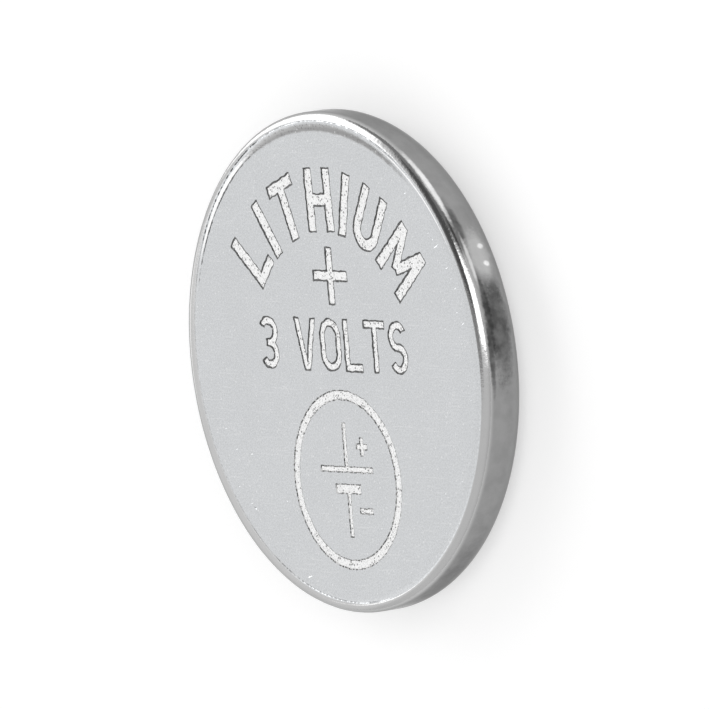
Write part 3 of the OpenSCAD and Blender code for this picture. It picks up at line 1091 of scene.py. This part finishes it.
def stampedFace(segments):
    m = faceMarks
    marks = allMarks()
    (left, right), (low, high) = m["area"]
    xs, ys = np.arange(left, right, m["gridStep"]), np.arange(low, high, m["gridStep"])
    field = markField(marks, *np.meshgrid(xs, ys))
    points, heights, edges = [], [], []

    def addLoop(loop, height):
        first = len(points)
        points.extend((float(x), float(y)) for x, y in loop)
        heights.extend([height] * len(loop))
        edges.extend((first + k, first + (k + 1) % len(loop)) for k in range(len(loop)))

    turns = 2 * math.pi * np.arange(segments) / segments
    addLoop(np.column_stack([np.cos(turns), np.sin(turns)]) * canShell["faceRadius"], 0.0)
    for loop in traceOutlines(field, xs, ys, 0.0):
        addLoop(evenSteps(loop, m["outlineStep"]), 0.0)
    for loop in traceOutlines(field, xs, ys, -m["edgeWidth"]):
        if len(loop) > m["leastPoints"]:
            addLoop(evenSteps(loop, m["outlineStep"]), -m["depth"])
    for nick in faceNicks:
        rim, floor = nickPoints(*nick)
        addLoop(rim, 0.0)
        first = len(points)
        for x, y, z in floor:
            points.append((x, y))
            heights.append(z)
        edges.extend([(first, first + 1), (first + 1, first + 2)])

    # stippled floors of the marks
    random = np.random.default_rng(m["stippleSeed"])
    step, shift = m["stippleStep"], m["stippleShift"]
    gx, gy = np.meshgrid(np.arange(left, right, step), np.arange(low, high, step))
    gx = gx + random.uniform(-shift, shift, gx.shape) * step
    gy = gy + random.uniform(-shift, shift, gy.shape) * step
    deep = markField(marks, gx, gy) < -m["edgeWidth"] - m["stippleMargin"]
    for x, y in zip(gx[deep], gy[deep]):
        points.append((float(x), float(y)))
        heights.append(-m["depth"] + float(random.uniform(*m["stippleRange"])) * m["stipple"])

    result = delaunay_2d_cdt([Vector(p) for p in points], edges, [], 0, m["weld"], True)
    verts, triangles, origins = result[0], result[2], result[3]
    level = canShell["faceHeight"]
    placed = [(v.x, v.y, level + (heights[o[0]] if o else 0.0)) for v, o in zip(verts, origins)]
    centre = np.array([(v.x, v.y) for v in verts])[np.array(triangles)].mean(axis=1)
    value = markField(marks, centre[:, 0], centre[:, 1])
    kinds = np.where(value > 0, 0, np.where(value > -m["edgeWidth"], 2, 1))
    return placed, triangles, kinds


# The can's looks, by number: 0 drawn steel, 1 plus face, 2 floor of a mark, 3 edge of a mark

def colorShell(shape):
    for f in shape.faces:
        middle = f.calc_center_median()
        within = math.hypot(middle.x, middle.y) < canShell["faceLookWithin"] * mm
        f.material_index = 1 if within and middle.z > canShell["faceLookAbove"] * mm else 0
        f.smooth = True


def addStampedFace(shape):
    placed, triangles, kinds = stampedFace(canShell["segments"])
    made = [shape.verts.new((x * mm, y * mm, z * mm)) for x, y, z in placed]
    for triangle, kind in zip(triangles, kinds):
        try:
            f = shape.faces.new([made[i] for i in triangle])
        except ValueError:
            continue
        f.material_index = 1 + int(kind)
        f.smooth = True
    shape.verts.ensure_lookup_table()
    bmesh.ops.remove_doubles(shape, verts=shape.verts, dist=canShell["weld"] * mm)
    # close the small hole in the middle of the inner floor
    bmesh.ops.contextual_create(shape, geom=[e for e in shape.edges if e.is_boundary])
    bmesh.ops.recalc_face_normals(shape, faces=shape.faces)


# The share of its depth to which the die's line is cut, at an angle round the face
def grooveCut(azimuth):
    away = min(abs((azimuth - at + 180) % 360 - 180) - half for at, half in dieLine["cut"])
    return min(max(1 - away / dieLine["cutFade"], dieLine["leastCut"]), 1)


# The die's line runs a little off centre
def shiftDieLine(shape):
    line, first, last = dieLine["radius"], dieLine["from"], dieLine["to"]
    for v in shape.verts:
        r, z = math.hypot(v.co.x, v.co.y) / mm, v.co.z / mm
        if first < r < last and z > canShell["lineAbove"]:
            c, s = v.co.x / (r * mm), v.co.y / (r * mm)
            share = (r - first) / (line - first) if r < line else (last - r) / (last - line)
            waves = (c, s, c * c - s * s, 2 * c * s)
            moved = r + share * sum(wave * shift for wave, shift in zip(waves, dieLine["shifts"]))
            height = z + topHeight(moved) - topHeight(r)
            if abs(r - line) < canShell["onLine"]:
                height += dieLine["depth"] * (1 - grooveCut(math.degrees(math.atan2(s, c))))
            v.co = Vector((moved * c, moved * s, height)) * mm


# Wear: the rim is a little uneven, as drawn and tumbled sheet is
def dentRim(shape):
    c = canShell
    least, spread = c["dentRounds"]
    waves = np.random.default_rng(c["dentSeed"]).uniform(0, 1, (c["dentWaves"], 2))
    for v in shape.verts:
        r, z = math.hypot(v.co.x, v.co.y) / mm, v.co.z / mm
        if r > c["dentBeyond"] and z > c["dentAbove"]:
            a = math.atan2(v.co.y, v.co.x)
            turns = (a * round(least + spread * w) + 6.28 * p + z * c["dentSlant"] for w, p in waves)
            shift = abs(sum(math.sin(turn) for turn in turns) * (c["dent"] * mm / 3))
            v.co.x -= shift * math.cos(a)
            v.co.y -= shift * math.sin(a)


def markSharpEdges(shape):
    for e in shape.edges:
        if len(e.link_faces) == 2:
            a, b = (f.material_index for f in e.link_faces)
            mixed = a != b and {a, b} != {0, 1}
            limit = canShell["sharpMark"] if a == b == 1 else canShell["sharpElsewhere"]
            creased = e.calc_face_angle(0) > limit and not a == b == 2
            e.smooth = not (mixed or creased)


def buildCan():
    materials = [drawnWallFinish(), plusFaceFinish(), markFloorFinish(), markEdgeFinish()]
    shape = bmesh.new()
    shape.from_mesh(revolvedMesh("can", canSection(), canShell, materials[0]))
    colorShell(shape)
    addStampedFace(shape)
    shiftDieLine(shape)
    dentRim(shape)
    markSharpEdges(shape)
    mesh = bpy.data.meshes.new("canShell")
    shape.to_mesh(mesh)
    loose = [e for e in shape.edges if not e.is_manifold]
    print("can:", len(shape.verts), "points,", len(shape.faces), "faces,", len(loose), "open edges")
    shape.free()
    for material in materials:
        mesh.materials.append(material)
    can = bpy.data.objects.new("canShell", mesh)
    bpy.context.scene.collection.objects.link(can)
    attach(can, "root")
    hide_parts("positive_can")


buildCan()


# Finishes of the parts that keep the CAD shape

def dress(node, material):
    data = cadNodes[node].data
    for index in range(max(1, len(data.materials))):
        if len(data.materials):
            data.materials[index] = material
        else:
            data.materials.append(material)


dress("negative_cap", grainyFinish(capLook))
dress("sealing_gasket", grainyFinish(gasketLook))
dress("cathode_pellet", cathodeFinish())
dress("collector_grid", grainyFinish(gridLook))
dress("separator", separatorFinish())
dress("lithium_disc", lithiumFinish())
print("cap, gasket and inner parts dressed")

bpy.context.scene.view_settings.view_transform = "Standard"
